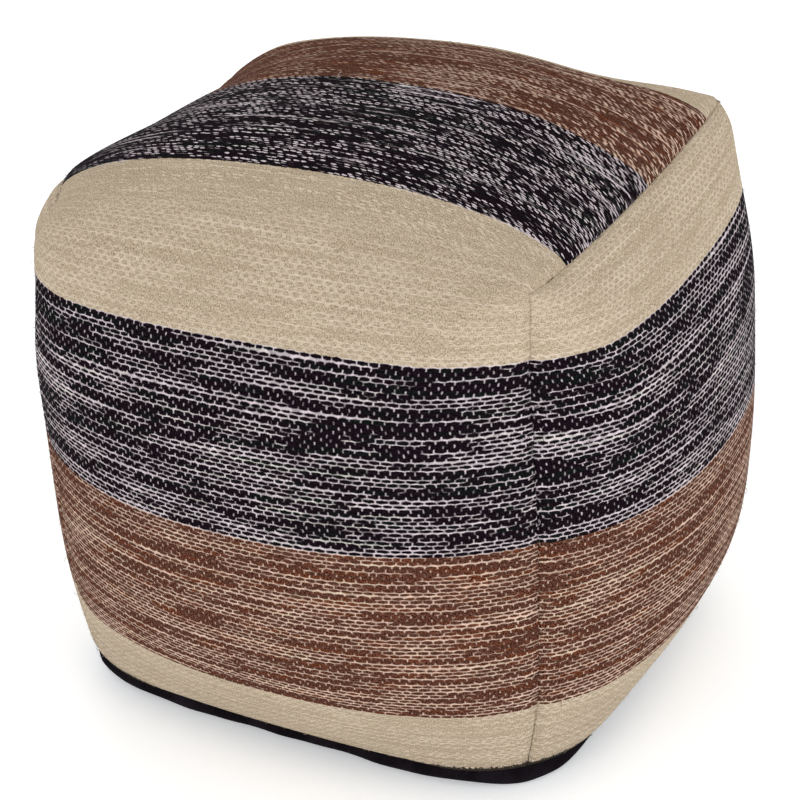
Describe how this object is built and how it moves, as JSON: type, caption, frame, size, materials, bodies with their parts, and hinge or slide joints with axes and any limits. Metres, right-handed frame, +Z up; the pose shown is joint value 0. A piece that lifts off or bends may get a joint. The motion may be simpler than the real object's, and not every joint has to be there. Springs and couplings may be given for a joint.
{
  "type": "cube pouf stool",
  "caption": "Soft filled cube pouf with a colour-banded woven cotton cover and a plain base panel, used as a low seat or footrest.",
  "frame": {"origin": "on the floor under the middle of the pouf", "axes": "+Z up, the front face looks along -Y, +X to the right of someone facing the front"},
  "size_m": [0.5314, 0.4912, 0.4575],
  "materials": {
    "banded_cotton": "matt, coarse weft-faced weave",
    "base_cotton": "matt, plain weave"
  },
  "bodies": {
    "root": {"cover_wrap": "banded_cotton", "side_right": "banded_cotton", "side_left": "banded_cotton", "base_panel": "base_cotton"}
  },
  "joints": []
}
